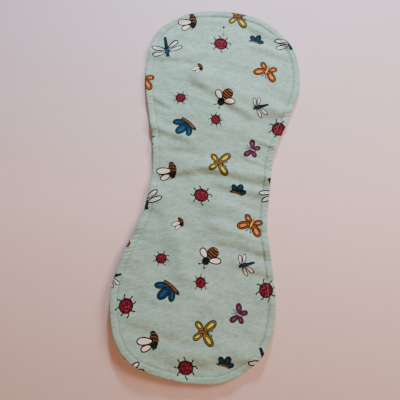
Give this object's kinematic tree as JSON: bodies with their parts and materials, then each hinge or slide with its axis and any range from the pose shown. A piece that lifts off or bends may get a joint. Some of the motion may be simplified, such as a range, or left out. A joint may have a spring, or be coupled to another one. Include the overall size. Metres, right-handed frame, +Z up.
{
  "type": "burp cloth on a pin",
  "caption": "Hourglass-shaped two-layer flannel burp cloth with a topstitched rim, hung on a wall from one ball-headed pin.",
  "frame": {"origin": "the point where the pin goes into the wall, in the wall's plane y = 0", "axes": "+Z up, +X to the viewer's right, +Y into the wall; the viewer stands on the -Y side"},
  "size_m": [0.2452, 0.0324, 0.4891],
  "materials": {
    "print_flannel": "brushed cotton, mint green, printed with small insects",
    "plain_flannel": "brushed cotton, plain mint green",
    "pin_steel": "bright nickel-plated wire",
    "pin_head": "black, glossy"
  },
  "bodies": {
    "root": {"front_panel": "print_flannel", "back_panel": "plain_flannel", "pin_shaft": "pin_steel", "pin_head": "pin_head"}
  },
  "joints": []
}
